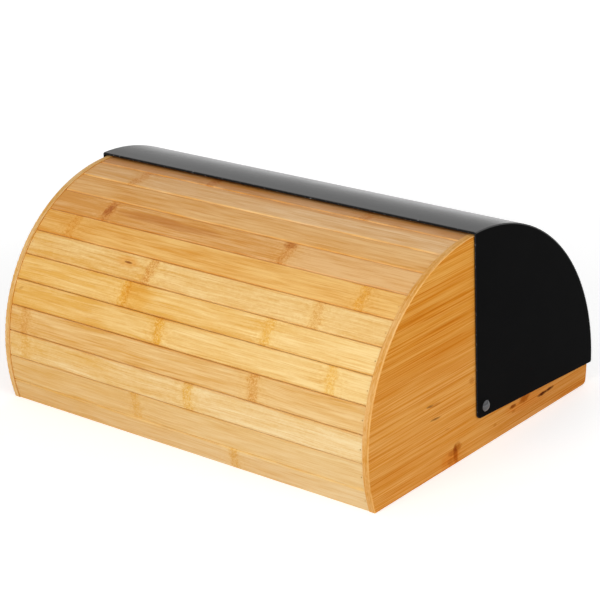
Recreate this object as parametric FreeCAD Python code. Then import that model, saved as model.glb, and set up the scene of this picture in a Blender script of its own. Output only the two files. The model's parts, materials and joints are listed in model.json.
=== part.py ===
import FreeCAD
import Part

import math
import os

from FreeCAD import Vector

# Bread box with a drum-shaped bamboo case and a pivoting quarter-drum steel lid.
# Millimetres. The origin lies on the table, in the middle of the width, straight under the pivots.
# X runs along the width, +Z is up, -Y is the front with the lid, +Y is the back with the slats.
# Angles round the pivot line are in degrees, from +Y upwards, so 90 is the top and 180 the front.

# Case
case_width = 400.0
profile_radius = 141.3  # outline of the side panels, round the pivot line
axis_height = 34.6  # pivot line above the table
side_thickness = 10.0
side_edge_round = 0.9
front_corner_radius = 5.0
base_thickness = 8.0
joint_gap = 0.1  # left between glued wooden pieces

# Slatted back
slat_count = 13
slat_thickness = 5.0
slat_recess = 0.5  # the slats lie this far inside the side panels' outline
slat_gap = 0.3
slat_chamfer = 0.8
slat_lap = 4.0  # part of a side panel's thickness that is cut back to carry the slats' ends
slat_end_gap = 0.2
lowest_joint_angle = -6.6
shell_top_angle = 102.6

# Rails across the opening
sill_depth = 16.0
top_rail_depth = 12.0
top_rail_width = 16.0
rail_edge_round = 1.2

# Pins and dowels
pin_radius = 0.6
pin_length = 10.0
pin_sink = 0.25
pin_clearance = 0.02
pin_wall = 2.0  # wood left between the topmost slat's pin and the top rail's dowel
dowel_radius = 2.5
dowel_length = 22.0
dowel_depth_in_side = 6.0
dowel_clearance = 0.05
base_dowel_pitch = 95.0
base_dowels_per_side = 3

# Lid
sheet = 1.0
lid_radial_gap = 2.2  # between the side panels' outline and the lid's sheet
lid_side_gap = 1.0  # between a side panel and the lid's side plate
lid_back_offset = 11.0  # the side plates' straight edges pass the pivot at these distances
lid_front_drop = 8.0
lid_closed_tilt = 3.4  # how far the closed lid dips past square
lid_corner_radius = 4.0
lid_edge_round = 0.35
hem_width = 8.0
lip_width = 12.0
lip_end_gap = 1.5
lip_bend_radius = 1.5  # on the outside of the fold

# Bumpers under the lid's lip
bumper_radius = 4.0
bumper_height = 1.4
bumper_inset = 40.0  # from the side panel's inner face
bumper_clearance = 0.1

# Pivots
post_radius = 3.0
post_head_radius = 4.6
post_head_height = 2.0
running_clearance = 0.05
axial_clearance = 0.1
spacer_radius = 7.0
washer_radius = 6.5
washer_thickness = 1.0
screw_radius = 2.0
screw_length = 9.0
screw_head_radius = 4.0
screw_head_height = 2.2
screw_slot_width = 1.2
screw_slot_depth = 1.1
thread_clearance = 0.03

# Knob
knob_angle = 171.0  # on the lid, before the closed tilt
knob_base_radius = 6.5
knob_base_height = 1.2
knob_neck_radius = 4.6
knob_neck_height = 5.5  # height of the waist
knob_head_radius = 11.5
knob_rim_height = 12.0  # height of the underside of the rim
knob_rim_round = 1.0
knob_dome_height = 3.6
knob_hole_depth = 9.0
knob_screw_radius = 2.0
knob_screw_head_radius = 4.0
knob_screw_head_height = 1.2
knob_screw_hole_clearance = 0.15

# Worked out from the sizes above
half_width = case_width / 2
inner_half = half_width - side_thickness
slat_outer = profile_radius - slat_recess
slat_inner = slat_outer - slat_thickness
slat_half_length = inner_half + slat_lap - slat_end_gap
slat_pitch = (shell_top_angle - lowest_joint_angle) / (slat_count - 1)
pin_x = inner_half + slat_lap / 2
lid_inner = profile_radius + lid_radial_gap
lid_outer = lid_inner + sheet
plate_inner_x = half_width + lid_side_gap
lid_half_width = plate_inner_x + sheet
sill_back = -(profile_radius - sill_depth)
lid_bottom = axis_height - lid_front_drop  # the lip's underside, before the closed tilt
bend_angle = 180 + math.degrees(math.asin((lid_front_drop - lip_bend_radius) / lid_outer))
reach = 4 * profile_radius  # longer than anything it cuts
hair = 1e-6  # allowed when an edge is looked up by its place

X_AXIS = Vector(1, 0, 0)
PIVOT = Vector(0, 0, axis_height)


def polar(radius, angle, x=0.0):
    turn = math.radians(angle)
    return Vector(x, radius * math.cos(turn), axis_height + radius * math.sin(turn))


def line(start, end):
    return Part.LineSegment(start, end).toShape()


def arc(radius, start, end):
    return Part.Arc(polar(radius, start), polar(radius, (start + end) / 2), polar(radius, end)).toShape()


def extruded(edges, half_length):
    """The closed outline, drawn at x = 0, as a solid reaching half_length to each side."""
    solid = Part.Face(Part.Wire(edges)).extrude(X_AXIS * (2 * half_length))
    solid.translate(X_AXIS * -half_length)
    return solid


def ring_sector(inner, outer, start, end, half_length):
    edges = [
        arc(inner, start, end),
        line(polar(inner, end), polar(outer, end)),
        arc(outer, end, start),
        line(polar(outer, start), polar(inner, start)),
    ]
    return extruded(edges, half_length)


def block(x, y, z):
    """A box between the low and high values of each pair."""
    return Part.makeBox(x[1] - x[0], y[1] - y[0], z[1] - z[0], Vector(x[0], y[0], z[0]))


def rod(radius, start, end):
    along = end - start
    return Part.makeCylinder(radius, along.Length, start, along)


def mirrored(shape):
    return shape.mirror(Vector(0, 0, 0), X_AXIS)


def tilted(shape):
    """The lid is drawn square and then dips to its closed position."""
    turned = shape.copy()
    turned.rotate(PIVOT, X_AXIS, lid_closed_tilt)
    return turned


def export(name, *solids):
    shape = solids[0] if len(solids) == 1 else Part.makeCompound(list(solids))
    shape.exportStep(os.path.join("parts", name + ".step"))


# --- case ---------------------------------------------------------------------------------------


def drum(x_low, x_high):
    """The case's outline between two x values: a drum cut flat at the table, its front corner eased."""
    whole = Part.makeCylinder(profile_radius, x_high - x_low, Vector(x_low, 0, axis_height), X_AXIS)
    above = whole.common(block((x_low, x_high), (-reach, reach), (0, reach)))
    corner = [e for e in above.Edges if lies_on_table(e) and e.CenterOfMass.y < 0]
    return above.makeFillet(front_corner_radius, corner)


def lies_on_table(edge):
    box = edge.BoundBox
    return box.ZMax < hair and box.YLength < hair


def dowel_places():
    """Centres of the dowels at x = 0: those of the base, then one in each rail."""
    middle = (base_dowels_per_side - 1) / 2
    offsets = [(i - middle) * base_dowel_pitch for i in range(base_dowels_per_side)]
    base = [Vector(0, y, base_thickness / 2) for y in offsets]
    sill_middle = (sill_back - profile_radius) / 2
    sill = Vector(0, sill_middle, sill_top_at(sill_middle) / 2)
    depth = slat_inner - joint_gap - top_rail_depth / 2
    beside_pin = math.degrees((pin_radius + pin_wall + dowel_radius) / depth)
    top = polar(depth, sum(slat_angles(slat_count - 1)) / 2 + beside_pin)
    return base, [sill, top]


def dowel(place, radius, spare=0.0):
    """A dowel in the right-hand joint, from inside the cross piece into the side panel."""
    tip = inner_half + dowel_depth_in_side
    return rod(radius, place + X_AXIS * (tip - dowel_length - spare), place + X_AXIS * (tip + spare))


def dowel_holes():
    base, rails = dowel_places()
    return [dowel(p, dowel_radius + dowel_clearance, joint_gap) for p in base + rails]


def both_ends(solids):
    return solids + [mirrored(s) for s in solids]


def slat_angles(number):
    """Lower and upper joint of a slat, counted from 0 at the bottom."""
    upper = lowest_joint_angle + number * slat_pitch
    lower = upper - slat_pitch
    if number == 0:
        lower = -math.degrees(math.asin(axis_height / slat_outer))
    return lower, upper


def slat_pin(number, radius, length, spare=0.0):
    """The pin in a slat's right-hand end, square to the slat's face."""
    angle = sum(slat_angles(number)) / 2
    head = slat_outer - pin_sink + spare
    tip = slat_outer - pin_sink - length
    return rod(radius, polar(head, angle, pin_x), polar(tip, angle, pin_x))


def pin_holes(numbers):
    deep = pin_length + joint_gap
    return [slat_pin(n, pin_radius + pin_clearance, deep, slat_recess + pin_sink) for n in numbers]


def side_panel():
    """The right-hand panel. Its inner part is cut back along the slats, which lie on that ledge."""
    panel = drum(inner_half, half_width)
    rim = [e for e in panel.Edges if e.BoundBox.XMin > half_width - hair]
    panel = panel.makeFillet(side_edge_round, rim)
    ledge = ring_sector(slat_inner, 2 * profile_radius, -90, shell_top_angle, inner_half + slat_lap)
    pivot_hole = rod(post_radius + running_clearance, PIVOT, PIVOT + X_AXIS * reach)
    return panel.cut([ledge, pivot_hole] + dowel_holes() + pin_holes(range(slat_count)))


def slat(number):
    """A strip with eased outer edges. The lowest one is drawn on past the table and sawn off there."""
    lower, upper = slat_angles(number)
    if number == 0:
        lower -= slat_pitch / 2
    half_gap = math.degrees(slat_gap / 2 / slat_outer)
    lower += half_gap
    upper -= half_gap
    easing = math.degrees(slat_chamfer / slat_outer)
    shoulder = slat_outer - slat_chamfer
    edges = [
        arc(slat_inner, lower, upper),
        line(polar(slat_inner, upper), polar(shoulder, upper)),
        line(polar(shoulder, upper), polar(slat_outer, upper - easing)),
        arc(slat_outer, upper - easing, lower + easing),
        line(polar(slat_outer, lower + easing), polar(shoulder, lower)),
        line(polar(shoulder, lower), polar(slat_inner, lower)),
    ]
    strip = extruded(edges, slat_half_length)
    strip = strip.cut(both_ends(pin_holes([number])))
    return strip.common(block((-reach, reach), (-reach, reach), (0, reach)))


def base_panel():
    slat_foot = math.sqrt(slat_inner**2 - axis_height**2)
    span = (sill_back + joint_gap, slat_foot - joint_gap)
    board = block((-inner_half, inner_half), span, (0, base_thickness))
    return board.cut(both_ends(dowel_holes()))


def lip_plane_height(y):
    """Height of the closed lip's underside above the table, at a y."""
    slope = math.radians(lid_closed_tilt)
    return axis_height + y * math.tan(slope) - lid_front_drop / math.cos(slope)


def sill_top_at(y):
    rest = bumper_height + bumper_clearance
    return lip_plane_height(y) - rest / math.cos(math.radians(lid_closed_tilt))


def sill_rail():
    """The rail under the closed lid. Its top slopes as the lid's lip does."""
    bar = drum(-inner_half, inner_half).common(block((-reach, reach), (-reach, sill_back), (0, reach)))
    top = [
        Vector(0, -reach, sill_top_at(-reach)),
        Vector(0, 0, sill_top_at(0)),
        Vector(0, 0, reach),
        Vector(0, -reach, reach),
    ]
    above = extruded([line(a, b) for a, b in zip(top, top[1:] + top[:1])], reach)
    bar = bar.cut([above] + both_ends(dowel_holes()))
    middle_height = sill_top_at(sill_back) / 2
    eased = [e for e in bar.Edges if e.BoundBox.XLength > inner_half and e.BoundBox.ZMin > middle_height]
    return bar.makeFillet(rail_edge_round, eased)


def top_rail():
    """The rail under the topmost slats, flush with their edge at the upper rim of the opening."""
    front = shell_top_angle - math.degrees(slat_gap / 2 / slat_outer)
    back = front - math.degrees(top_rail_width / slat_inner)
    outer = slat_inner - joint_gap
    bar = ring_sector(outer - top_rail_depth, outer, back, front, inner_half)
    below = outer - top_rail_depth / 2
    eased = [e for e in bar.Edges if e.BoundBox.XLength > inner_half and from_pivot(e) < below]
    return bar.makeFillet(rail_edge_round, eased).cut(both_ends(dowel_holes()))


def from_pivot(edge):
    middle = edge.CenterOfMass
    return math.hypot(middle.y, middle.z - axis_height)


# --- lid ----------------------------------------------------------------------------------------


def lid_cover():
    """The rolled sheet: hemmed along its back edge, folded in to a lip along its lower front edge."""
    back_angle = math.degrees(math.acos(lid_back_offset / lid_outer))
    fold_angle = back_angle + math.degrees(sheet / lid_inner)
    hem_end = fold_angle + math.degrees(hem_width / lid_inner)
    shell = ring_sector(lid_inner, lid_outer, fold_angle, bend_angle, lid_half_width)
    hem = ring_sector(lid_inner - sheet, lid_inner, fold_angle, hem_end, lid_half_width)
    fold_start = polar(lid_inner, fold_angle, -lid_half_width)
    fold = rod(sheet, fold_start, fold_start + X_AXIS * (2 * lid_half_width))
    cover = shell.fuse([hem, fold, lip()]).removeSplitter()
    rims = [e for e in cover.Edges if is_outer_rim(e)]
    cover = cover.makeFillet(lid_edge_round, rims)
    hole_radius = knob_screw_radius + knob_screw_hole_clearance
    hole = rod(hole_radius, polar(slat_outer, knob_angle), polar(reach, knob_angle))
    return cover.cut([hole, side_disc(), mirrored(side_disc())])


def is_outer_rim(edge):
    """The long curved edges on the outside of the sheet, at the lid's two ends."""
    box = edge.BoundBox
    at_end = box.XLength < hair and abs(abs(box.XMin) - lid_half_width) < hair
    return at_end and edge.Length > lid_inner and from_pivot_end(edge) > lid_outer - sheet / 2


def from_pivot_end(edge):
    end = edge.Vertexes[0].Point
    return math.hypot(end.y, end.z - axis_height)


def lip_span():
    """The y values of the flat lip: where the bend ends, and its free edge."""
    front = polar(lid_outer, bend_angle).y
    return front + lip_bend_radius, front + lip_width


def lip():
    """A quarter bend at the sheet's lower edge, and the flat lip inside it."""
    bend_end, free_edge = lip_span()
    start = polar(lid_outer, bend_angle)
    inside = polar(lid_inner, bend_angle)
    inset = lip_bend_radius * (1 - math.cos(math.radians(45)))
    edges = [
        Part.Arc(
            start,
            Vector(0, start.y + inset, lid_bottom + inset),
            Vector(0, bend_end, lid_bottom),
        ).toShape(),
        line(Vector(0, bend_end, lid_bottom), Vector(0, free_edge, lid_bottom)),
        line(Vector(0, free_edge, lid_bottom), Vector(0, free_edge, lid_bottom + sheet)),
        line(Vector(0, free_edge, lid_bottom + sheet), Vector(0, inside.y, lid_bottom + sheet)),
        line(Vector(0, inside.y, lid_bottom + sheet), inside),
        line(inside, start),
    ]
    folded = extruded(edges, lid_half_width)
    spare = block((inner_half - lip_end_gap, reach), (-lid_inner, reach), (-reach, reach))
    return folded.cut([spare, mirrored(spare)])


def side_disc():
    """The full disc that the right-hand side plate is a quarter of. The sheet is notched round it."""
    return Part.makeCylinder(lid_inner, sheet, Vector(plate_inner_x, 0, axis_height), X_AXIS)


def lid_side():
    """The right-hand side plate: a quarter disc with its inner corner rounded about the pivot."""
    span = (plate_inner_x, lid_half_width)
    plate = side_disc().common(block(span, (-reach, lid_back_offset), (lid_bottom, reach)))
    corner = [e for e in plate.Edges if is_inner_corner(e)]
    plate = plate.makeFillet(lid_corner_radius, corner)
    return plate.cut(rod(post_radius + running_clearance, PIVOT, PIVOT + X_AXIS * reach))


def is_inner_corner(edge):
    middle = edge.CenterOfMass
    along_x = edge.BoundBox.XLength > sheet / 2
    return along_x and abs(middle.y - lid_back_offset) < hair and abs(middle.z - lid_bottom) < hair


def bumper():
    """The right-hand bumper, glued on the sill's sloping top and drawn square with the lid."""
    foot = lid_bottom - bumper_clearance - bumper_height
    place = Vector(inner_half - bumper_inset, sum(lip_span()) / 2, foot)
    pad = Part.makeCylinder(bumper_radius, bumper_height, place)
    top = [e for e in pad.Edges if e.BoundBox.ZMin > foot + bumper_height / 2]
    return tilted(pad.makeFillet(bumper_height / 2, top))


# --- pivots -------------------------------------------------------------------------------------


def dome(radius, height, centre, direction):
    """A low domed head whose flat side is centred on centre and faces away from direction."""
    ball_radius = (radius**2 + height**2) / (2 * height)
    ball = Part.makeSphere(ball_radius, centre + direction * (height - ball_radius))
    slab = Part.makeCylinder(radius, height, centre, direction)
    return ball.common(slab)


def pivot_post():
    """The right-hand hollow post. The lid turns on it between its domed head and the spacer."""
    seat = lid_half_width + axial_clearance
    head = dome(post_head_radius, post_head_height, PIVOT + X_AXIS * seat, X_AXIS)
    barrel = rod(post_radius, PIVOT + X_AXIS * inner_half, PIVOT + X_AXIS * seat)
    depth = screw_length - washer_thickness + axial_clearance
    bore = rod(screw_radius + thread_clearance, PIVOT, PIVOT + X_AXIS * (inner_half + depth))
    return head.fuse(barrel).removeSplitter().cut(bore)


def ring(outer, inner, x_low, x_high):
    disc = rod(outer, PIVOT + X_AXIS * x_low, PIVOT + X_AXIS * x_high)
    return disc.cut(rod(inner, PIVOT, PIVOT + X_AXIS * reach))


def pivot_spacer():
    return ring(spacer_radius, post_radius + running_clearance, half_width, plate_inner_x - axial_clearance)


def pivot_washer():
    return ring(washer_radius, screw_radius + thread_clearance, inner_half - washer_thickness, inner_half)


def pivot_screw():
    """The right-hand screw, driven into the post from inside the case."""
    seat = inner_half - washer_thickness
    shank = rod(screw_radius, PIVOT + X_AXIS * seat, PIVOT + X_AXIS * (seat + screw_length))
    head = dome(screw_head_radius, screw_head_height, PIVOT + X_AXIS * seat, -X_AXIS)
    crown = seat - screw_head_height
    slot = block(
        (crown - screw_slot_depth, crown + screw_slot_depth),
        (-screw_head_radius, screw_head_radius),
        (axis_height - screw_slot_width / 2, axis_height + screw_slot_width / 2),
    )
    return head.fuse(shank).removeSplitter().cut(slot)


# --- knob ---------------------------------------------------------------------------------------


def on_lid(shape):
    """Puts a shape drawn about +Z, its seat at z = 0, on the closed lid's sheet at the knob's place."""
    placed = shape.copy()
    seat = polar(lid_outer, knob_angle)
    placed.Placement = FreeCAD.Placement(seat, FreeCAD.Rotation(Vector(0, 0, 1), seat - PIVOT))
    return tilted(placed)


def knob():
    """A turned mushroom knob: a foot, a waisted neck, a rounded rim and a domed top."""

    def at(radius, height):
        return Vector(radius, 0, height)

    under_rim = knob_head_radius - knob_rim_round
    rim_top = knob_rim_height + 2 * knob_rim_round
    ball_radius = (under_rim**2 + knob_dome_height**2) / (2 * knob_dome_height)
    half_way = math.asin(under_rim / ball_radius) / 2
    dome_top = rim_top + knob_dome_height
    dome_middle = at(ball_radius * math.sin(half_way), dome_top - ball_radius * (1 - math.cos(half_way)))
    edges = [
        line(at(0, 0), at(knob_base_radius, 0)),
        line(at(knob_base_radius, 0), at(knob_base_radius, knob_base_height)),
        Part.Arc(
            at(knob_base_radius, knob_base_height),
            at(knob_neck_radius, knob_neck_height),
            at(under_rim, knob_rim_height),
        ).toShape(),
        Part.Arc(
            at(under_rim, knob_rim_height),
            at(knob_head_radius, knob_rim_height + knob_rim_round),
            at(under_rim, rim_top),
        ).toShape(),
        Part.Arc(at(under_rim, rim_top), dome_middle, at(0, dome_top)).toShape(),
        line(at(0, dome_top), at(0, 0)),
    ]
    turned = Part.Face(Part.Wire(edges)).revolve(Vector(0, 0, 0), Vector(0, 0, 1), 360)
    hole = Part.makeCylinder(knob_screw_radius + thread_clearance, knob_hole_depth)
    return on_lid(turned.cut(hole))


def knob_screw():
    """The screw that holds the knob from inside the lid, with a low head."""
    sag = lid_inner - math.sqrt(lid_inner**2 - knob_screw_head_radius**2)
    seat = -sheet - sag
    head = dome(knob_screw_head_radius, knob_screw_head_height, Vector(0, 0, seat), Vector(0, 0, -1))
    shank = Part.makeCylinder(knob_screw_radius, knob_hole_depth - seat - joint_gap, Vector(0, 0, seat))
    return on_lid(head.fuse(shank).removeSplitter())


# --- build --------------------------------------------------------------------------------------


def export_pair(name, right):
    """Writes a piece that is drawn on the right and mirrored to the left."""
    export(name + "_right", right)
    export(name + "_left", mirrored(right))


def main():
    os.makedirs("parts", exist_ok=True)
    export_pair("side_panel", side_panel())
    export("base_panel", base_panel())
    export("sill_rail", sill_rail())
    export("top_rail", top_rail())
    for number in range(slat_count):
        export(f"slat_{number + 1:02d}", slat(number))
    pins = [slat_pin(n, pin_radius, pin_length) for n in range(slat_count)]
    export("slat_pins", *both_ends(pins))
    base, rails = dowel_places()
    export("base_dowels", *both_ends([dowel(p, dowel_radius) for p in base]))
    export("rail_dowels", *both_ends([dowel(p, dowel_radius) for p in rails]))
    export("lid_cover", tilted(lid_cover()))
    export_pair("lid_side", tilted(lid_side()))
    export_pair("lid_bumper", bumper())
    export_pair("pivot_post", pivot_post())
    export_pair("pivot_spacer", pivot_spacer())
    export_pair("pivot_washer", pivot_washer())
    export_pair("pivot_screw", pivot_screw())
    export("knob", knob())
    export("knob_screw", knob_screw())


main()
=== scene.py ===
import json
import math

import bpy
from mathutils import Matrix, Vector

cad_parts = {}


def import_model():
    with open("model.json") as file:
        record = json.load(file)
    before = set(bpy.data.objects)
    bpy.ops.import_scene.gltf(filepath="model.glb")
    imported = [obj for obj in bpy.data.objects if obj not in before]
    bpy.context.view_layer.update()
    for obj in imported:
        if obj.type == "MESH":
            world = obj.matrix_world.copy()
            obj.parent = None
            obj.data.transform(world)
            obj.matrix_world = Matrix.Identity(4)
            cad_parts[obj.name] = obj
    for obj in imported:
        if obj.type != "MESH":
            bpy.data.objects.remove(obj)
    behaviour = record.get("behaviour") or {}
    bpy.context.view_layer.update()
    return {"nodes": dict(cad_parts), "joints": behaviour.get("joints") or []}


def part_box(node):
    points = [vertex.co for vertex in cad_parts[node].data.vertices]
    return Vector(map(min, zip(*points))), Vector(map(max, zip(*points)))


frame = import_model()

# The bread box stands on the floor with its slatted back towards +Y and its lid towards -Y.
# Places are in metres. The bamboo is drawn in millimetres, along the grain and across it.

MM = 0.001

# Camera
camera_place = Vector((-1.161, 1.233, 0.759))
camera_azimuth = 222.93
camera_elevation = 21.83
camera_roll = -4.71
camera_lens = 132.15
camera_sensor = 36.0

# World: how strongly it lights the object, and how bright the camera and gloss see it. A rise is the
# height of a direction, from 0 at the horizon to 1 straight up.
white = (1, 1, 1, 1)
world_light = 0.42
horizon_shine = 0.80
middle_shine = 0.68
overhead_shine = 0.92
middle_rise = (0.0, 0.2)
overhead_rise = (0.22, 0.42)

# Floor: its side, its colour, and how brightly it glows to the camera and gloss, less near the object
# than far off. The reach gives the distances between which the glow grows.
floor_size = 14.0
floor_colour = (0.80, 0.80, 0.80, 1)
near_glow = 0.48
far_glow = 0.72
glow_reach = (0.3, 1.4)

# Each lamp's place, the side of its square and its power. The lamps aren't mirrored in gloss.
lamp_looks = {
    "key": dict(place=(0.00, 2.25, 0.90), size=1.3, power=22.0),
    "fill": dict(place=(-2.05, 0.50, 0.90), size=1.4, power=20.0),
    "front": dict(place=(0.80, -2.10, 0.70), size=1.4, power=12.0),
}

# Colours of metal, plastic and rubber
coat_black = (0.0007, 0.0007, 0.0008, 1)
coat_dusty = (0.0016, 0.0016, 0.0017, 1)
coat_chipped = (0.34, 0.35, 0.37, 1)
cover_edge_colour = (0.003, 0.003, 0.003, 1)
side_edge_colour = (0.022, 0.026, 0.034, 1)
nickel_colour = (0.12, 0.12, 0.125, 1)
knob_colour = (0.45, 0.45, 0.44, 1)
pale_pin = (0.74, 0.44, 0.16, 1)
dark_pin = (0.52, 0.29, 0.09, 1)
nylon_colour = (0.70, 0.69, 0.65, 1)
rubber_colour = (0.03, 0.03, 0.03, 1)
dust_colour = (0.35, 0.34, 0.32, 1)

# Seeds of the random figures. A slat's is the first one plus its number of steps.
first_slat_seed = 1.3
slat_seed_step = 3.7
panel_seeds = {"side_panel_left": 41.0, "side_panel_right": 57.0}
board_seeds = {"base_panel": 23.0, "sill_rail": 27.0, "top_rail": 31.0}
dowel_seed = 37.0

# Bamboo. A shade is a colour that the bamboo's own is multiplied by.
dark_shade = (0.89, 0.74, 0.42, 1)
light_shade = (1.08, 1.22, 1.65, 1)
fibre_shade = (0.84, 0.64, 0.36, 1)
line_shade = (0.90, 0.71, 0.30, 1)
vein_shade = (0.93, 0.80, 0.42, 1)
high_shade = (0.98, 0.94, 0.70, 1)
# Painted shade: the side panel is darker towards its front.
painted_front_shade = (0.90, 0.86, 0.92, 1)
golden_knuckle = (0.92, 0.71, 0.19, 1)
knuckle_halo = (0.98, 0.90, 0.62, 1)
brown_knuckle = (0.84, 0.63, 0.42, 1)
# Painted contact shadow along a side panel's bottom edge.
painted_contact_shadow_shade = (0.72, 0.53, 0.24, 1)
joint_shade = (0.84, 0.57, 0.16, 1)
# Painted highlight: the pale line where light catches a slat's edge.
painted_edge_highlight = (1.42, 1.56, 1.30, 1)
stain_shade = (0.71, 0.48, 0.17, 1)
# The next shade darkens the burnt marks of knots, and the painted shadow under the lid's rear edge.
burnt_and_painted_shadow_shade = (0.58, 0.33, 0.0, 1)
scorch_shade = (0.38, 0.21, 0.02, 1)
orange_shade = (0.97, 0.80, 0.55, 1)
knot_shade = (0.14, 0.07, 0.01, 1)
panel_colour = (0.758, 0.354, 0.076, 1)
rim_colours = {
    "side_panel_left": (0.80, 0.42, 0.12, 1),
    "side_panel_right": (0.80, 0.47, 0.16, 1),
}
corner_colour = (0.84, 0.48, 0.16, 1)
board_colour = (0.74, 0.42, 0.12, 1)

# The bamboo's figure, in millimetres. A fleck is its length along the grain and its width across it.
# A span is where in the noise, which is around 0, something starts and where it is full.
sway_fleck = (120.0, 40.0)
wave_fleck = (24.0, 7.0)
band_fleck = (85.0, 6.5)
lens_fleck = (34.0, 2.2)
fibre_fleck = (42.0, 0.95)
thread_fleck = (40.0, 0.60)
curl_fleck = (4.2, 2.2)
sway_reach = 5.0
band_weight = 1.6
lens_weight = 1.2
fibre_weight = 1.7
curl_weight = 2.4
thread_span = (0.06, 0.20)
thread_strength = 0.55
thread_relief = -0.7

# Strips of the panels and boards: their width, how far apart two strips lie in the noise, how far a
# strip's grain is moved along it, the least tone of a strip and the most that is added to it, and how
# strong and how curly the grain is.
strip_width = 19.0
strip_step = 3.7
strip_shift = 900.0
panel_tone = (-0.15, 1.3)
board_tone = (0.1, 0.8)
board_grain = 0.8
panel_curl = 0.1
rim_curl = 0.6
board_curl = 0.2

# The lines along a slat's edges, dark joints for a strength above 0 and painted highlights below it, and
# the patches in which they are fainter and stronger
joint_line_width = 1.35
joint_patch_fleck = (26.0, 60.0)
joint_patch_span = (-0.15, 0.15)
joint_line_strength = (0.45, 1.15)

# A side panel: how its figure is stretched along Y and up Z, the heights between which its upper shade
# comes in, the places along Y between which its painted front shade goes out (a painted shade that darkens
# the front), the painted contact shadow along its bottom edge, and the patches on its rim. The facings
# tell its flat face and the corners of its rim from the rim itself, by how far the surface faces along X.
face_facing = (0.75, 0.95)
corner_facing = (0.1, 0.4)
panel_stretch = (0.45, 1.4)
panel_upper = (70.0, 130.0)
painted_front_shade_span = (-60.0, 20.0)
painted_contact_shadow_width = 0.9
painted_contact_shadow_strength = 0.6
rim_patch_fleck = (22.0, 40.0)
rim_patch_span = (-0.12, 0.12)

# The lines drawn over a side panel: their fleck and span, their shade, their strength low down, and how
# much it gains high up.
panel_lines = [
    ((260.0, 1.5), (0.03, 0.14), line_shade, 0.65, 0.35),
    ((90.0, 0.95), (0.00, 0.12), line_shade, 1.00, 0.00),
    ((340.0, 3.4), (0.02, 0.14), vein_shade, 0.30, 0.70),
]

# Knuckles: a band across the grain that wobbles, is ragged and mottled, and has a halo. The fibres are
# curly round it and fade out in it. On the boards the knuckles are spaced evenly along each strip.
knuckle_band = (2.2, 6.4)
knuckle_wobble_fleck = (7.0, 60.0)
knuckle_wobble = 8.0
knuckle_spot_fleck = (1.7, 2.2)
knuckle_raggedness = 9.0
mottle_span = (-0.04, 0.04)
mottle_strength = (0.15, 1.1)
knuckle_relief = -0.25
halo_width = 11.0
halo_strength = 0.35
curl_width = 15.0
curl_gain = 0.6
calm_width = 5.5
calm_loss = -0.75
tone_step = (-3.0, 3.0)
board_knuckle_spacing = 230.0
board_knuckle_strength = 0.7

# Finish: how rough the bamboo is between its fibres and on them, how deep the textures are, in metres,
# and the spans of noise over which the dusty coat, the chips, the lacquer and the dust come in.
height_span = (-0.2, 0.2)
slat_roughness = (0.50, 0.38)
board_roughness = (0.56, 0.46)
grain_depth = 0.00010
peel_depth = 0.00002
scratch_depth = 0.00001
pebble_depth = 0.00005
noise_range = (0.3, 0.7)
dusty_span = (0.35, 0.7)
chip_span = (0.60, 0.66)
lacquer_span = (0.35, 0.65)
dust_span = (0.4, 0.75)
dust_strength = 0.25

# The lid's worn rear edge: the places along Y in millimetres, and how far a surface faces to the rear,
# where the wear starts and is full.
worn_place = (-8.0, -4.0)
worn_facing = (0.3, 0.6)
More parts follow.
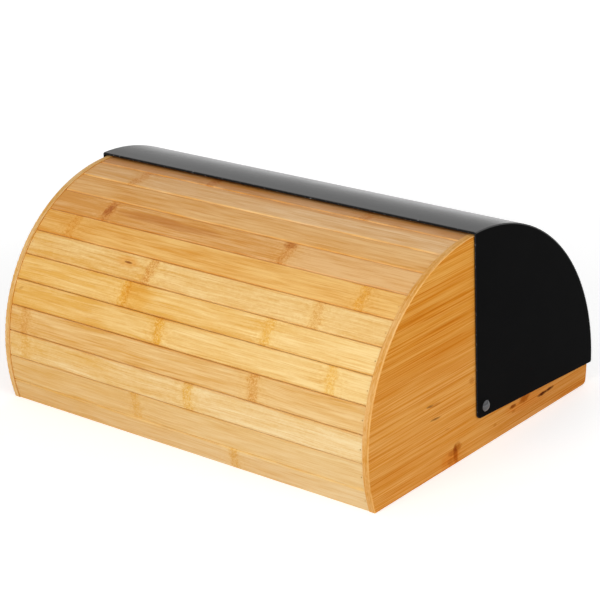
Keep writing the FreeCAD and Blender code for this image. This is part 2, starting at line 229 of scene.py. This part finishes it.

# Each slat from the bottom one up: its colour, how strong and how curly its grain is, how dark its
# lower and upper edges are (below 0 they are pale: a painted highlight), how much paler it gets over a
# metre towards -x (partly the cane's own tone, partly a painted sheen), and its knuckles. A knuckle is
# its place along x in mm, its strength, how brown it is, and how much paler its +x side is.
slat_looks = {
    "slat_01": dict(
        colour=(0.81, 0.52, 0.20), grain=0.6, curl=0.1, edges=(0.0, -0.35),
        paler_and_sheen=1.6, knuckles=[(-59, 0.8, 0.2, 0.05)],
    ),
    "slat_02": dict(
        colour=(0.825, 0.525, 0.19), grain=0.6, curl=0.1, edges=(-0.35, 0.0),
        paler_and_sheen=1.0, knuckles=[(44, 0.65, 0.0, -0.05)],
    ),
    "slat_03": dict(
        colour=(0.88, 0.59, 0.23), grain=0.6, curl=0.4, edges=(0.1, 0.5),
        paler_and_sheen=1.0, knuckles=[(175, 0.5, 0.2, 0.0), (-15, 0.8, 0.0, -0.1)],
    ),
    "slat_04": dict(
        colour=(0.82, 0.49, 0.158), grain=0.9, curl=0.1, edges=(0.55, 0.5),
        paler_and_sheen=0.8, knuckles=[(176, 0.7, 0.7, -0.1), (-83, 1.0, 0.8, 0.05)],
    ),
    "slat_05": dict(
        colour=(0.90, 0.57, 0.183), grain=0.8, curl=0.2, edges=(0.5, 0.5),
        paler_and_sheen=1.3, knuckles=[(23, 1.0, 0.0, -0.15), (-157, 0.65, 0.0, -0.05)],
    ),
    "slat_06": dict(
        colour=(0.92, 0.585, 0.188), grain=0.8, curl=0.2, edges=(0.5, 0.5),
        paler_and_sheen=2.0, knuckles=[(70, 0.9, 0.0, 0.2), (-86, 0.7, 0.0, -0.1)],
    ),
    "slat_07": dict(
        colour=(0.885, 0.545, 0.173), grain=0.8, curl=0.4, edges=(0.4, 0.42),
        paler_and_sheen=0.5, knuckles=[(52, 1.0, 1.0, -0.2), (-125, 0.65, 0.8, 0.05)],
    ),
    "slat_08": dict(
        colour=(0.86, 0.46, 0.108), grain=1.0, curl=0.1, edges=(0.3, 0.25),
        paler_and_sheen=1.3, knuckles=[(157, 0.65, 0.2, -0.05), (-158, 0.75, 0.0, 0.1)],
    ),
    "slat_09": dict(
        colour=(0.795, 0.42, 0.128), grain=1.1, curl=0.1, edges=(0.1, 0.3),
        paler_and_sheen=1.3, knuckles=[(131, 1.0, 0.8, 0.0), (-67, 1.0, 0.7, -0.4)],
    ),
    "slat_10": dict(
        colour=(0.815, 0.438, 0.131), grain=0.9, curl=0.1, edges=(-0.3, 0.45),
        paler_and_sheen=0.5, knuckles=[],
    ),
    "slat_11": dict(
        colour=(0.80, 0.456, 0.168), grain=0.85, curl=0.1, edges=(-0.6, 1.0),
        paler_and_sheen=1.1, knuckles=[(134, 0.9, 0.7, -0.1)],
    ),
    # Slat 12's colour is darker than its neighbours': a painted shade from the lid above it.
    "slat_12": dict(
        colour=(0.655, 0.313, 0.10), grain=1.3, curl=0.1, edges=(-0.9, 0.0),
        paler_and_sheen=1.0, knuckles=[(66, 0.8, 1.0, 0.0), (-99, 0.7, 0.7, 0.0)],
    ),
    "slat_13": dict(
        colour=(0.73, 0.39, 0.12), grain=0.8, curl=0.2, edges=(0.0, 0.0),
        paler_and_sheen=0.6, knuckles=[(-20, 0.8, 0.5, 0.0)],
    ),
}

# Marks are stains, knots and scratches, and one painted shadow: their place along and across the grain,
# their half length and half width, their slope, their shade and their strength. On a slat, across is up
# from its middle line. The edge of a mark is ragged in flecks of this share of its size, and fades over
# its span. The long mark on slat 11 darkens the joint between slats 11 and 12, and the long mark on
# slat 12 is a painted shadow under the lid's rear edge.
mark_fleck = (0.5, 0.6)
mark_raggedness = 1.6
mark_span = (0.1, 1.3)
slat_marks = {
    "slat_05": [((187, 4.0), (3.0, 1.6), -0.4, stain_shade, 0.5)],
    "slat_06": [((56, 0.0), (20.0, 13.0), 0.0, golden_knuckle, 0.55)],
    "slat_07": [
        ((79, 3.5), (14.0, 5.0), 0.0, orange_shade, 0.9),
        ((79, 3.0), (5.0, 1.1), 0.03, scorch_shade, 1.0),
    ],
    "slat_09": [
        ((62, 0.5), (62.0, 5.0), 0.01, stain_shade, 0.6),
        ((132, -1.0), (4.5, 6.0), 0.0, stain_shade, 0.9),
        ((130, 5.0), (3.5, 4.0), 0.0, stain_shade, 0.5),
        ((-64, 8.0), (7.0, 4.0), 0.0, stain_shade, 0.9),
    ],
    "slat_11": [((-70, 8.8), (150.0, 2.8), 0.0, joint_shade, 0.55)],
    "slat_12": [
        ((66, 3.0), (6.0, 6.0), 0.0, stain_shade, 0.4),
        # Painted shadow: a dark line along slat 12 under the lid's rear edge.
        ((0, 3.6), (400.0, 1.5), 0.0, burnt_and_painted_shadow_shade, 0.8),
    ],
}

# On the left panel, along is Y and across is Z.
left_panel_marks = [
    ((66.5, 59.5), (4.5, 1.0), 0.10, knot_shade, 0.60),
    ((60.0, 58.5), (7.0, 1.6), 0.05, burnt_and_painted_shadow_shade, 0.40),
    ((60.5, 47.0), (6.5, 1.0), 0.08, knot_shade, 0.60),
    ((47.0, 33.0), (3.5, 0.7), 0.10, stain_shade, 0.40),
    ((14.0, 61.0), (4.0, 3.0), 0.00, stain_shade, 0.60),
    ((45.0, 6.0), (13.0, 8.0), 0.00, orange_shade, 1.00),
    ((38.7, 8.0), (3.0, 9.0), 0.00, burnt_and_painted_shadow_shade, 0.80),
    ((36.0, 13.5), (5.5, 4.0), 0.00, burnt_and_painted_shadow_shade, 0.75),
    ((42.5, 11.0), (6.0, 3.0), 0.00, burnt_and_painted_shadow_shade, 0.50),
    ((45.0, 4.5), (5.0, 3.0), 0.00, burnt_and_painted_shadow_shade, 0.40),
    ((-12.5, 12.5), (2.5, 1.2), 0.00, stain_shade, 0.60),
    ((-58.0, 17.0), (34.0, 8.0), 0.00, orange_shade, 0.80),
    ((-36.8, 18.9), (4.6, 1.7), 0.00, scorch_shade, 0.95),
    ((-37.3, 14.3), (3.0, 1.0), 0.00, burnt_and_painted_shadow_shade, 0.50),
    ((-52.0, 19.7), (7.5, 3.2), 0.00, burnt_and_painted_shadow_shade, 0.85),
    ((-76.5, 14.6), (6.5, 1.7), -0.02, knot_shade, 1.00),
    ((-86.5, 15.0), (7.0, 1.4), -0.03, knot_shade, 0.95),
]

pivot_height = frame["joints"][0]["pos_m"][2]
drum_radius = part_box("side_panel_left")[1][1]


# --- node graphs --------------------------------------------------------------------------------


class Graph:
    """The nodes of one material or world. Each method gives the output socket of what it made."""

    def __init__(self, owner):
        self.owner = owner
        owner.use_nodes = True
        self.tree = owner.node_tree
        self.tree.nodes.clear()

    def feed(self, socket, value):
        if isinstance(value, bpy.types.NodeSocket):
            self.tree.links.new(value, socket)
        else:
            socket.default_value = value

    def node(self, kind, settings=None, **inputs):
        made = self.tree.nodes.new(kind)
        for key, value in (settings or {}).items():
            setattr(made, key, value)
        for key, value in inputs.items():
            self.feed(made.inputs[key.replace("_", " ")], value)
        return made

    def math(self, operation, *values):
        made = self.node("ShaderNodeMath", {"operation": operation})
        for socket, value in zip(made.inputs, values):
            self.feed(socket, value)
        return made.outputs[0]

    def chain(self, operation, values):
        total = values[0]
        for value in values[1:]:
            total = self.math(operation, total, value)
        return total

    def add(self, *values):
        return self.chain("ADD", values)

    def multiply(self, *values):
        return self.chain("MULTIPLY", values)

    def ramp(self, value, low, high, start=0.0, end=1.0):
        """start below low, end above high, and smooth between them."""
        made = self.node("ShaderNodeMapRange", {"interpolation_type": "SMOOTHSTEP"})
        for socket, number in zip(made.inputs, (value, low, high, start, end)):
            self.feed(socket, number)
        return made.outputs["Result"]

    def bell(self, distance, width):
        """1 where distance is 0, and next to nothing beyond twice the width."""
        share = self.math("DIVIDE", distance, width)
        return self.math("EXPONENT", self.multiply(share, share, -1.0))

    def vector(self, x, y, z):
        return self.node("ShaderNodeCombineXYZ", X=x, Y=y, Z=z).outputs[0]

    def noise(self, vector, scale=1.0, detail=2.0, roughness=0.5, distortion=0.0):
        made = self.node(
            "ShaderNodeTexNoise",
            Vector=vector,
            Scale=scale,
            Detail=detail,
            Roughness=roughness,
            Distortion=distortion,
        )
        return made.outputs["Fac"]

    def grain(self, along, across, fleck, seed, **settings):
        """Noise drawn out along the grain, in flecks of about this length and width, around 0."""
        length, width = fleck
        place = self.vector(self.multiply(along, 1 / length), self.multiply(across, 1 / width), seed)
        return self.math("SUBTRACT", self.noise(place, **settings), 0.5)

    def mix(self, factor, first, second, blend="MIX"):
        made = self.node("ShaderNodeMix", {"data_type": "RGBA", "blend_type": blend})
        for index, value in ((0, factor), (6, first), (7, second)):
            self.feed(made.inputs[index], value)
        return made.outputs[2]

    def shade(self, factor, colour, shade):
        return self.mix(factor, colour, shade, "MULTIPLY")

    def parts(self, vector):
        made = self.node("ShaderNodeSeparateXYZ", Vector=vector)
        return [made.outputs[axis] for axis in "XYZ"]

    def metres(self):
        """The place at rest, as one vector in metres."""
        return self.node("ShaderNodeTexCoord").outputs["Object"]

    def place(self):
        """X, Y and Z at rest, in millimetres."""
        return [self.multiply(part, 1 / MM) for part in self.parts(self.metres())]

    def facing(self):
        """How far the surface faces along X, Y and Z of its own piece."""
        return self.parts(self.node("ShaderNodeTexCoord").outputs["Normal"])

    def bump(self, height, depth, strength):
        made = self.node("ShaderNodeBump", Height=height, Distance=depth, Strength=strength)
        return made.outputs["Normal"]

    def seen_directly(self):
        """1 for the rays that show the background: from the camera, in gloss and through glass."""
        path = self.node("ShaderNodeLightPath")
        rays = ("Is Camera Ray", "Is Glossy Ray", "Is Transmission Ray")
        return self.chain("MAXIMUM", [path.outputs[ray] for ray in rays])

    def surface(self, **inputs):
        """Ends the material. Numbers that are the same all over are set on the shader itself."""
        shader = self.node("ShaderNodeBsdfPrincipled", **inputs)
        self.node("ShaderNodeOutputMaterial", Surface=shader.outputs[0])
        return self.owner


def material_graph(name):
    return Graph(bpy.data.materials.new(name))


def around_drum(graph, y, z):
    """How far round the drum a point lies, from the +Y side upwards."""
    height = graph.math("SUBTRACT", z, pivot_height / MM)
    return graph.multiply(graph.math("ARCTAN2", height, y), drum_radius / MM)


# --- bamboo -------------------------------------------------------------------------------------


def bamboo(graph, along, across, seed, colour, tone=0.5, curl=0.2, grain=1.0, flow=1.0):
    """Bands, lenses and fibres along the grain, from dark to light. Where flow is low they fade out,
    and where curl is high the fibres are curly. Gives the colour and the height."""
    sway = graph.grain(along, across, sway_fleck, seed, detail=1)
    wave = graph.grain(along, across, wave_fleck, seed + 4.0, detail=1)
    bend = graph.multiply(wave, graph.add(0.5, curl))
    lane = graph.add(across, graph.multiply(sway, sway_reach), bend)
    bands = graph.grain(along, lane, band_fleck, seed + 1.0)
    lenses = graph.grain(along, lane, lens_fleck, seed + 2.0)
    fibres = graph.grain(along, lane, fibre_fleck, seed + 3.0, roughness=0.6)
    curls = graph.grain(along, across, curl_fleck, seed + 5.0, distortion=1.0)
    streaks = graph.add(
        graph.multiply(bands, band_weight),
        graph.multiply(lenses, lens_weight),
        graph.multiply(fibres, fibre_weight),
    )
    level = graph.add(
        tone,
        graph.multiply(streaks, flow, grain),
        graph.multiply(curls, curl, curl_weight * grain),
    )
    colour = graph.shade(1.0, colour, graph.mix(level, dark_shade, light_shade))
    threads = graph.grain(along, lane, thread_fleck, seed + 6.0)
    thread = graph.multiply(graph.ramp(threads, *thread_span, 0.0, thread_strength), flow)
    colour = graph.shade(thread, colour, fibre_shade)
    height = graph.add(fibres, graph.multiply(threads, thread_relief))
    return colour, height


def knuckle(graph, colour, along, across, seed, place, strength, brown):
    """The mottled band across the grain where the cane had a joint, with a faint halo. Gives the
    colour, and how much of the band there is."""
    wobble = graph.grain(across, along, knuckle_wobble_fleck, seed + place)
    distance = graph.math("ABSOLUTE", graph.add(along, -place, graph.multiply(wobble, knuckle_wobble)))
    spots = graph.grain(
        along,
        across,
        knuckle_spot_fleck,
        seed + place + 9.0,
        detail=3,
        roughness=0.6,
        distortion=1.5,
    )
    ragged = graph.add(distance, graph.multiply(spots, -knuckle_raggedness))
    band = graph.ramp(ragged, *knuckle_band, 1.0, 0.0)
    mottle = graph.ramp(spots, *mottle_span, *mottle_strength)
    factor = graph.multiply(band, mottle, strength)
    halo = graph.multiply(graph.bell(distance, halo_width), halo_strength * strength)
    colour = graph.shade(halo, colour, knuckle_halo)
    return graph.shade(factor, colour, graph.mix(brown, golden_knuckle, brown_knuckle)), factor


def marked(graph, colour, along, across, seed, marks):
    """Adds marks to the colour. Each is a ragged oval."""
    for place, size, slope, shade, strength in marks:
        run = graph.math("SUBTRACT", along, place[0])
        rise = graph.add(across, -place[1], graph.multiply(run, -slope))
        fleck = [share * half for share, half in zip(mark_fleck, size)]
        ragged = graph.grain(along, across, fleck, seed, detail=3)
        length = graph.math("DIVIDE", run, size[0])
        width = graph.math("DIVIDE", rise, size[1])
        oval = graph.add(graph.multiply(length, length), graph.multiply(width, width))
        reach = graph.add(oval, graph.multiply(ragged, mark_raggedness))
        colour = graph.shade(graph.ramp(reach, *mark_span, strength, 0.0), colour, shade)
    return colour


def bamboo_surface(graph, colour, height, roughness, specular):
    """Ends a bamboo material. The fibres stand a little proud and are glossier."""
    return graph.surface(
        Base_Color=colour,
        Roughness=graph.ramp(height, *height_span, *roughness),
        Specular_IOR_Level=specular,
        Normal=graph.bump(height, grain_depth, 0.5),
    )


def slat_span(name):
    """The lowest and the highest place round the drum that a slat reaches."""
    reach = [
        math.atan2(point.co.z - pivot_height, point.co.y) * drum_radius / MM
        for point in frame["nodes"][name].data.vertices
    ]
    return min(reach), max(reach)


def edge_tint(strength):
    """What an edge's colour is multiplied by: darker for a strength above 0, and a painted highlight below
    0.
    """
    shade = joint_shade if strength > 0 else painted_edge_highlight
    return tuple(1 + abs(strength) * (channel - 1) for channel in shade)


def slat_material(name, seed, colour, grain, curl, edges, paler_and_sheen, knuckles):
    graph = material_graph("bamboo_" + name)
    x, y, z = graph.place()
    low, high = slat_span(name)
    across = graph.math("SUBTRACT", around_drum(graph, y, z), (low + high) / 2)
    # Partly a painted sheen: the slat grows paler towards -x.
    tone = graph.add(0.5, graph.multiply(x, -paler_and_sheen * MM))
    flow = 1.0
    for place, strength, brown, lift in knuckles:
        distance = graph.math("SUBTRACT", x, place)
        curl = graph.add(curl, graph.multiply(graph.bell(distance, curl_width), curl_gain))
        flow = graph.add(flow, graph.multiply(graph.bell(distance, calm_width), calm_loss))
        tone = graph.add(tone, graph.ramp(distance, *tone_step, -lift / 2, lift / 2))
    surface, height = bamboo(graph, x, across, seed, (*colour, 1), tone, curl, grain, flow)
    for place, strength, brown, lift in knuckles:
        surface, band = knuckle(graph, surface, x, across, seed, place, strength, brown)
        height = graph.add(height, graph.multiply(band, knuckle_relief))
    surface = marked(graph, surface, x, across, seed, slat_marks.get(name, []))
    half = (high - low) / 2
    for strength, side in zip(edges, (1, -1)):
        edge = graph.add(half, graph.multiply(across, side))
        patches = graph.grain(x, across, joint_patch_fleck, seed + side)
        line_strength = graph.ramp(patches, *joint_patch_span, *joint_line_strength)
        line = graph.multiply(graph.bell(edge, joint_line_width), line_strength)
        surface = graph.shade(line, surface, edge_tint(strength))
    return bamboo_surface(graph, surface, height, slat_roughness, specular=0.3)


def panel_face(graph, y, z, seed, marks):
    """A side panel's face: strips with the grain from front to back, each with its own tone."""
    strip = graph.math("FLOOR", graph.multiply(z, 1 / strip_width))
    chance = graph.noise(graph.vector(graph.multiply(strip, strip_step), seed, 0.0), detail=0)
    tone = graph.add(panel_tone[0], graph.multiply(chance, panel_tone[1]))
    along = graph.multiply(y, panel_stretch[0])
    across = graph.multiply(z, panel_stretch[1])
    face, height = bamboo(graph, along, across, seed, panel_colour, tone, panel_curl, board_grain)
    upper = graph.ramp(z, *panel_upper)
    face = graph.shade(upper, face, high_shade)
    for number, (fleck, span, shade, strength, gain) in enumerate(panel_lines):
        figure = graph.grain(y, z, fleck, seed + 8.0 + number, roughness=0.6)
        full = graph.add(strength, graph.multiply(upper, gain))
        face = graph.shade(graph.multiply(graph.ramp(figure, *span), full), face, shade)
    # Painted shade: the panel darkens towards its front.
    face = graph.shade(graph.ramp(y, *painted_front_shade_span, 1.0, 0.0), face, painted_front_shade)
    # Painted contact shadow: a dark line along the panel's bottom edge, where it stands on the floor.
    painted_contact_shadow = graph.multiply(graph.bell(z, painted_contact_shadow_width), painted_contact_shadow_strength)
    face = graph.shade(painted_contact_shadow, face, painted_contact_shadow_shade)
    return marked(graph, face, y, z, seed, marks), height


def panel_rim(graph, x, around, across_face, seed, colour):
    """A side panel's rim round the drum: the grain runs along it, and its corners are paler in patches."""
    rim = bamboo(graph, around, x, seed + 20.0, colour, curl=rim_curl)[0]
    patches = graph.grain(around, x, rim_patch_fleck, seed + 21.0)
    corner = graph.multiply(graph.ramp(across_face, *corner_facing), graph.ramp(patches, *rim_patch_span))
    return graph.mix(corner, rim, corner_colour)


def panel_material(name, marks):
    seed = panel_seeds[name]
    graph = material_graph("bamboo_" + name)
    x, y, z = graph.place()
    face, height = panel_face(graph, y, z, seed, marks)
    across_face = graph.math("ABSOLUTE", graph.facing()[0])
    rim = panel_rim(graph, x, around_drum(graph, y, z), across_face, seed, rim_colours[name])
    surface = graph.mix(graph.ramp(across_face, *face_facing), rim, face)
    return bamboo_surface(graph, surface, height, board_roughness, specular=0.03)


def board_material(name, seed):
    """The base, the rails and the dowels: strips with the grain along X, each with its own figure,
    its own tone and its own knuckles."""
    graph = material_graph("bamboo_" + name)
    x, y, z = graph.place()
    across = graph.add(y, z)
    strip = graph.math("FLOOR", graph.multiply(across, 1 / strip_width))
    lot = graph.node("ShaderNodeTexWhiteNoise", {"noise_dimensions": "1D"}, W=graph.add(strip, seed))
    chance = lot.outputs["Value"]
    along = graph.add(x, graph.multiply(chance, strip_shift))
    tone = graph.add(board_tone[0], graph.multiply(chance, board_tone[1]))
    surface, height = bamboo(graph, along, across, seed, board_colour, tone, board_curl, board_grain)
    length = graph.math("FLOORED_MODULO", along, board_knuckle_spacing)
    run = graph.math("SUBTRACT", length, board_knuckle_spacing / 2)
    surface, band = knuckle(graph, surface, run, across, seed, 0.0, board_knuckle_strength, chance)
    height = graph.add(height, graph.multiply(band, knuckle_relief))
    return bamboo_surface(graph, surface, height, board_roughness, specular=0.25)


# --- metal, plastic and rubber ------------------------------------------------------------------


def powder_coat(name, edge_colour, specular, roughness):
    """Black powder coat: a faintly pebbled skin, with the coat worn thin on the sheet's rear edge."""
    graph = material_graph(name)
    place = graph.metres()
    peel = graph.noise(place, scale=900.0, roughness=0.6)
    cloud = graph.noise(place, scale=28.0, detail=3, roughness=0.6)
    chips = graph.noise(place, scale=420.0, detail=4, roughness=0.7)
    tint = graph.mix(graph.ramp(cloud, *dusty_span), coat_black, coat_dusty)
    rear = graph.ramp(graph.place()[1], *worn_place)
    edge = graph.multiply(graph.ramp(graph.facing()[1], *worn_facing), rear)
    worn = graph.mix(graph.ramp(chips, *chip_span), edge_colour, coat_chipped)
    gloss = graph.ramp(cloud, *noise_range, roughness - 0.01, roughness + 0.02)
    return graph.surface(
        Base_Color=graph.mix(edge, tint, worn),
        Roughness=graph.math("MAXIMUM", gloss, edge),
        Specular_IOR_Level=specular,
        Normal=graph.bump(peel, peel_depth, 0.3),
    )


def plated_steel(name, colour, roughness):
    """Finely scratched metal with a little tarnish."""
    graph = material_graph(name)
    place = graph.metres()
    scratches = graph.noise(place, scale=2600.0, detail=3, roughness=0.7)
    tarnish = graph.noise(place, scale=110.0)
    dull = tuple(0.8 * channel for channel in colour[:3])
    return graph.surface(
        Base_Color=graph.mix(graph.ramp(tarnish, *noise_range), colour, (*dull, 1)),
        Metallic=1.0,
        Roughness=graph.ramp(scratches, *noise_range, roughness - 0.03, roughness + 0.05),
        Normal=graph.bump(scratches, scratch_depth, 0.2),
    )


def pin_heads():
    """Thin steel pins, browned by the lacquer that was wiped over them."""
    graph = material_graph("pin_heads")
    lacquer = graph.noise(graph.metres(), scale=700.0, detail=3)
    return graph.surface(
        Base_Color=graph.mix(graph.ramp(lacquer, *lacquer_span), pale_pin, dark_pin),
        Metallic=0.3,
        Roughness=graph.ramp(lacquer, *noise_range, 0.5, 0.7),
    )


def moulded(name, colour, roughness):
    """Nylon and rubber: a fine pebbled skin with a little dust in its tone."""
    graph = material_graph(name)
    place = graph.metres()
    pebble = graph.noise(place, scale=1800.0)
    dust = graph.noise(place, scale=140.0, detail=3)
    return graph.surface(
        Base_Color=graph.mix(graph.ramp(dust, *dust_span, 0.0, dust_strength), colour, dust_colour),
        Roughness=roughness,
        Normal=graph.bump(pebble, pebble_depth, 0.4),
    )


# --- dressing -----------------------------------------------------------------------------------


def paint(material, *names):
    for name in names:
        mesh = frame["nodes"][name].data
        mesh.materials.clear()
        mesh.materials.append(material)


def both(name):
    return name + "_left", name + "_right"


def dress():
    for number, (name, looks) in enumerate(slat_looks.items()):
        paint(slat_material(name, slat_seed_step * number + first_slat_seed, **looks), name)
    paint(panel_material("side_panel_left", left_panel_marks), "side_panel_left")
    paint(panel_material("side_panel_right", []), "side_panel_right")
    for name, seed in board_seeds.items():
        paint(board_material(name, seed), name)
    paint(board_material("dowels", dowel_seed), "base_dowels", "rail_dowels")
    cover_coat = powder_coat("powder_coat_cover", cover_edge_colour, specular=0.5, roughness=0.25)
    side_coat = powder_coat("powder_coat_side", side_edge_colour, specular=0.02, roughness=0.5)
    nickel = plated_steel("nickel", nickel_colour, roughness=0.15)
    steel = plated_steel("knob_steel", knob_colour, roughness=0.22)
    nylon = moulded("nylon", nylon_colour, roughness=0.5)
    rubber = moulded("rubber", rubber_colour, roughness=0.65)
    paint(cover_coat, "lid_cover")
    paint(side_coat, *both("lid_side"))
    paint(nickel, *both("pivot_post"), *both("pivot_screw"), *both("pivot_washer"))
    paint(steel, "knob", "knob_screw")
    paint(pin_heads(), "slat_pins")
    paint(nylon, *both("pivot_spacer"))
    paint(rubber, *both("lid_bumper"))


# --- studio -------------------------------------------------------------------------------------


def world():
    graph = Graph(bpy.data.worlds.new("studio"))
    direction = graph.node("ShaderNodeTexCoord").outputs["Generated"]
    height = graph.parts(direction)[2]
    low_shine = graph.ramp(height, *middle_rise, horizon_shine, middle_shine)
    high_shine = graph.ramp(height, *overhead_rise, 0.0, overhead_shine - middle_shine)
    shine = graph.add(low_shine, high_shine)
    direct = graph.seen_directly()
    strength = graph.node("ShaderNodeMapRange", Value=direct, To_Min=world_light, To_Max=shine)
    background = graph.node("ShaderNodeBackground", Color=white, Strength=strength.outputs["Result"])
    graph.node("ShaderNodeOutputWorld", Surface=background.outputs[0])
    bpy.context.scene.world = graph.owner


def floor():
    half = floor_size / 2
    corners = [(-half, -half, 0), (half, -half, 0), (half, half, 0), (-half, half, 0)]
    mesh = bpy.data.meshes.new("floor")
    mesh.from_pydata(corners, [], [(0, 1, 2, 3)])
    plane = bpy.data.objects.new("floor", mesh)
    bpy.context.scene.collection.objects.link(plane)
    graph = material_graph("floor")
    away = graph.node("ShaderNodeVectorMath", {"operation": "LENGTH"}, Vector=graph.metres())
    glow = graph.ramp(away.outputs["Value"], *glow_reach, near_glow, far_glow)
    material = graph.surface(
        Base_Color=floor_colour,
        Roughness=0.9,
        Specular_IOR_Level=0.0,
        Emission_Color=white,
        Emission_Strength=graph.multiply(graph.seen_directly(), glow),
    )
    mesh.materials.append(material)


def soft_lamp(name, place, size, power):
    """A square lamp that faces the middle of the box."""
    data = bpy.data.lights.new(name, "AREA")
    data.shape = "SQUARE"
    data.size = size
    data.energy = power
    lamp = bpy.data.objects.new(name, data)
    lamp.visible_glossy = False
    lamp.location = place
    middle = Vector((0, 0, pivot_height))
    lamp.rotation_euler = (Vector(place) - middle).to_track_quat("Z", "Y").to_euler()
    bpy.context.scene.collection.objects.link(lamp)


def camera():
    azimuth = math.radians(camera_azimuth)
    elevation = math.radians(camera_elevation)
    flat = math.cos(elevation)
    back = Vector((math.sin(azimuth) * flat, -math.cos(azimuth) * flat, math.sin(elevation)))
    right = Vector((math.cos(azimuth), math.sin(azimuth), 0))
    upright = Matrix((right, back.cross(right), back)).transposed()
    turn = upright @ Matrix.Rotation(math.radians(camera_roll), 3, "Z")
    data = bpy.data.cameras.new("camera")
    data.lens = camera_lens
    data.sensor_width = camera_sensor
    made = bpy.data.objects.new("camera", data)
    made.matrix_world = Matrix.Translation(camera_place) @ turn.to_4x4()
    bpy.context.scene.collection.objects.link(made)
    bpy.context.scene.camera = made


def main():
    dress()
    world()
    floor()
    for name, looks in lamp_looks.items():
        soft_lamp(name, **looks)
    camera()
    bpy.context.scene.view_settings.view_transform = "Standard"


main()
